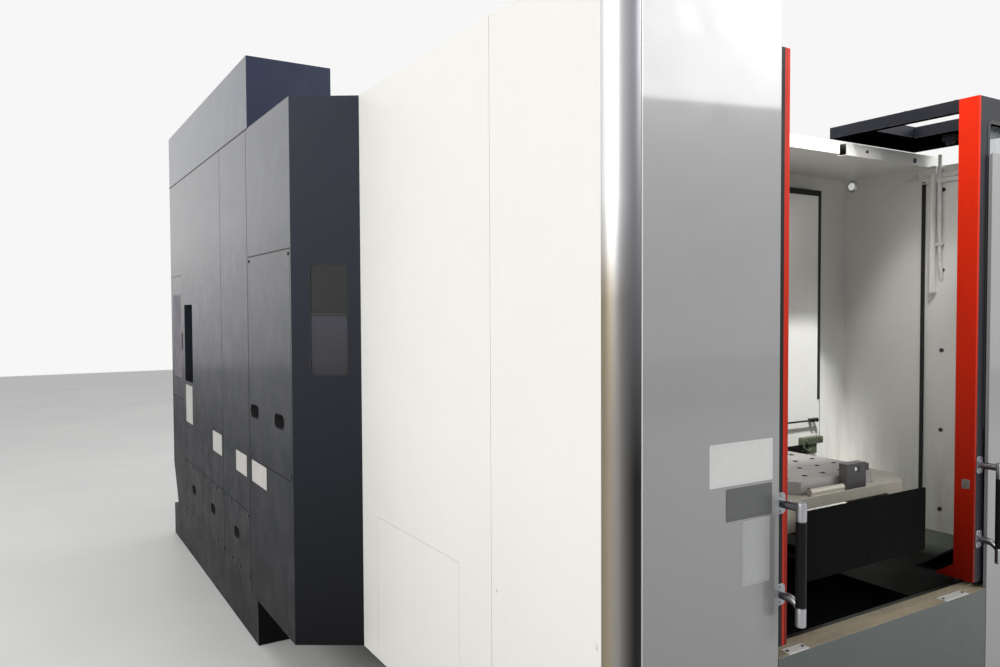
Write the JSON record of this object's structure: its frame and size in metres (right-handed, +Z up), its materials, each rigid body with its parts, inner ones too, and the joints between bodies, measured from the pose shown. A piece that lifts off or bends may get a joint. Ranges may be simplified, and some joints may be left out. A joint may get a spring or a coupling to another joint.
{
  "type": "horizontal machining centre",
  "caption": "Floor-standing horizontal machining centre with a sliding-door pallet loading station, a turning pallet changer and a tall side tool magazine.",
  "frame": {"origin": "on the floor under the middle of the whole machine", "axes": "+Z up; the loading doors face -Y; +X runs along the doors to the operator side, and the tool magazine is on the -X side"},
  "size_m": [2.788, 5.095, 2.949],
  "materials": {
    "white_sheet": "smooth warm white powder coat",
    "grey_sheet": "light grey semi-gloss paint",
    "charcoal_sheet": "dark blue-grey semi-gloss paint",
    "orange_paint": "glossy signal orange paint",
    "black_paint": "satin black paint",
    "floor_paint": "grey-green enamel, stained by coolant",
    "beige_arm": "beige-grey enamel with coolant stains",
    "iron": "painted grey casting",
    "steel": "ground steel",
    "bright_metal": "satin silver metal",
    "seal_rubber": "black sealing rubber",
    "pane": "clear safety pane",
    "red_plastic": "red moulded plastic",
    "black_plastic": "black moulded plastic"
  },
  "bodies": {
    "machine": {"base_casting": "iron", "guide_rails": "steel", "levelling_feet": "iron", "rear_cover": "charcoal_sheet", "chip_conveyor": "grey_sheet", "left_side_front_panel": "white_sheet", "left_side_rear_panel": "white_sheet", "side_hatch": "white_sheet", "left_corner_post": "bright_metal", "left_front_panel": "grey_sheet", "left_top_cover": "white_sheet", "right_front_panel": "grey_sheet", "right_corner_post": "bright_metal", "right_side_panel": "white_sheet", "sill_panel": "grey_sheet", "canopy": "white_sheet", "inner_walls": "white_sheet", "partition_frame": "white_sheet", "wall_seals": "seal_rubber", "chip_floor": "floor_paint", "cable_conduit": "white_sheet", "door_track": "steel", "panel_screws": "steel", "changer_column": "iron", "apron": "black_paint", "magazine_frame": "charcoal_sheet", "magazine_cover": "charcoal_sheet", "magazine_window": "pane", "tower_cover": "charcoal_sheet", "access_panel": "charcoal_sheet", "electrical_cabinet": "grey_sheet"},
    "left_door": {"left_door_frame": "charcoal_sheet", "left_door_edge": "orange_paint", "left_door_window": "pane", "left_door_handle": "bright_metal"},
    "right_door": {"right_door_frame": "charcoal_sheet", "right_door_edge": "orange_paint", "right_door_window": "pane", "right_door_handle": "bright_metal"},
    "lift": {"lift_ram": "steel"},
    "changer": {"fork_arm": "beige_arm", "partition": "white_sheet", "partition_seal": "seal_rubber", "front_pallet": "steel", "rear_pallet": "steel", "clamp_blocks": "iron"},
    "saddle": {"table_saddle": "iron"},
    "table": {"rotary_table": "steel"},
    "column_body": {"column": "iron"},
    "head": {"spindle_head": "iron"},
    "spindle_body": {"spindle": "steel"},
    "wheel": {"tool_wheel": "steel"},
    "change_arm": {"tool_change_arm": "steel"},
    "setup_door_body": {"setup_door": "charcoal_sheet"},
    "side_door": {"operator_door": "white_sheet", "operator_window": "pane"},
    "panel": {"operator_panel": "grey_sheet"},
    "stop_button": {"emergency_stop": "red_plastic"},
    "cabinet_door_body": {"cabinet_door": "grey_sheet"},
    "switch": {"main_switch": "black_plastic"}
  },
  "joints": [
    {"name": "left_door_slide", "type": "slide", "parent": "machine", "child": "left_door", "axis": [1, 0, 0], "range_m": [0, 0.493]},
    {"name": "right_door_slide", "type": "slide", "parent": "machine", "child": "right_door", "axis": [-1, 0, 0], "range_m": [0, 0.493]},
    {"name": "changer_lift", "type": "slide", "parent": "machine", "child": "lift", "axis": [0, 0, 1], "range_m": [-0.095, 0]},
    {"name": "changer_turn", "type": "hinge", "parent": "lift", "child": "changer", "pos_m": [0, -1.6005, 0.955], "axis": [0, 0, 1], "range_deg": [0, 180]},
    {"name": "table_slide", "type": "slide", "parent": "machine", "child": "saddle", "axis": [0, 1, 0], "range_m": [0, 0.73]},
    {"name": "table_turn", "type": "hinge", "parent": "saddle", "child": "table", "pos_m": [0, -1.1835, 0.7], "axis": [0, 0, 1], "continuous": true},
    {"name": "column_slide", "type": "slide", "parent": "machine", "child": "column_body", "axis": [1, 0, 0], "range_m": [-0.365, 0.365]},
    {"name": "head_slide", "type": "slide", "parent": "column_body", "child": "head", "axis": [0, 0, 1], "range_m": [-0.36, 0.37]},
    {"name": "spindle_spin", "type": "hinge", "parent": "head", "child": "spindle_body", "pos_m": [0, -0.1775, 1.55], "axis": [0, 1, 0], "continuous": true},
    {"name": "wheel_turn", "type": "hinge", "parent": "machine", "child": "wheel", "pos_m": [-1.33, 0.2725, 1.4], "axis": [1, 0, 0], "continuous": true},
    {"name": "change_arm_turn", "type": "hinge", "parent": "machine", "child": "change_arm", "pos_m": [-0.7, -0.2425, 1.55], "axis": [0, 1, 0], "range_deg": [0, 180]},
    {"name": "setup_door_hinge", "type": "hinge", "parent": "machine", "child": "setup_door_body", "pos_m": [-1.381, 2.3945, 1.485], "axis": [0, 0, -1], "range_deg": [0, 95]},
    {"name": "operator_door_slide", "type": "slide", "parent": "machine", "child": "side_door", "axis": [0, -1, 0], "range_m": [0, 0.67]},
    {"name": "panel_swivel", "type": "hinge", "parent": "machine", "child": "panel", "pos_m": [1.215, -1.9875, 1.44], "axis": [0, 0, 1], "range_deg": [0, 60]},
    {"name": "emergency_stop_press", "type": "slide", "parent": "panel", "child": "stop_button", "axis": [-1, 0, 0], "range_m": [0, 0.006], "stiffness_N_per_m": 1000},
    {"name": "cabinet_door_hinge", "type": "hinge", "parent": "machine", "child": "cabinet_door_body", "pos_m": [1.361, 1.0115, 1.2], "axis": [0, 0, 1], "range_deg": [0, 110]},
    {"name": "main_switch_turn", "type": "hinge", "parent": "cabinet_door_body", "child": "switch", "pos_m": [1.38, 0.0025, 1.7], "axis": [1, 0, 0], "range_deg": [0, 90]}
  ]
}
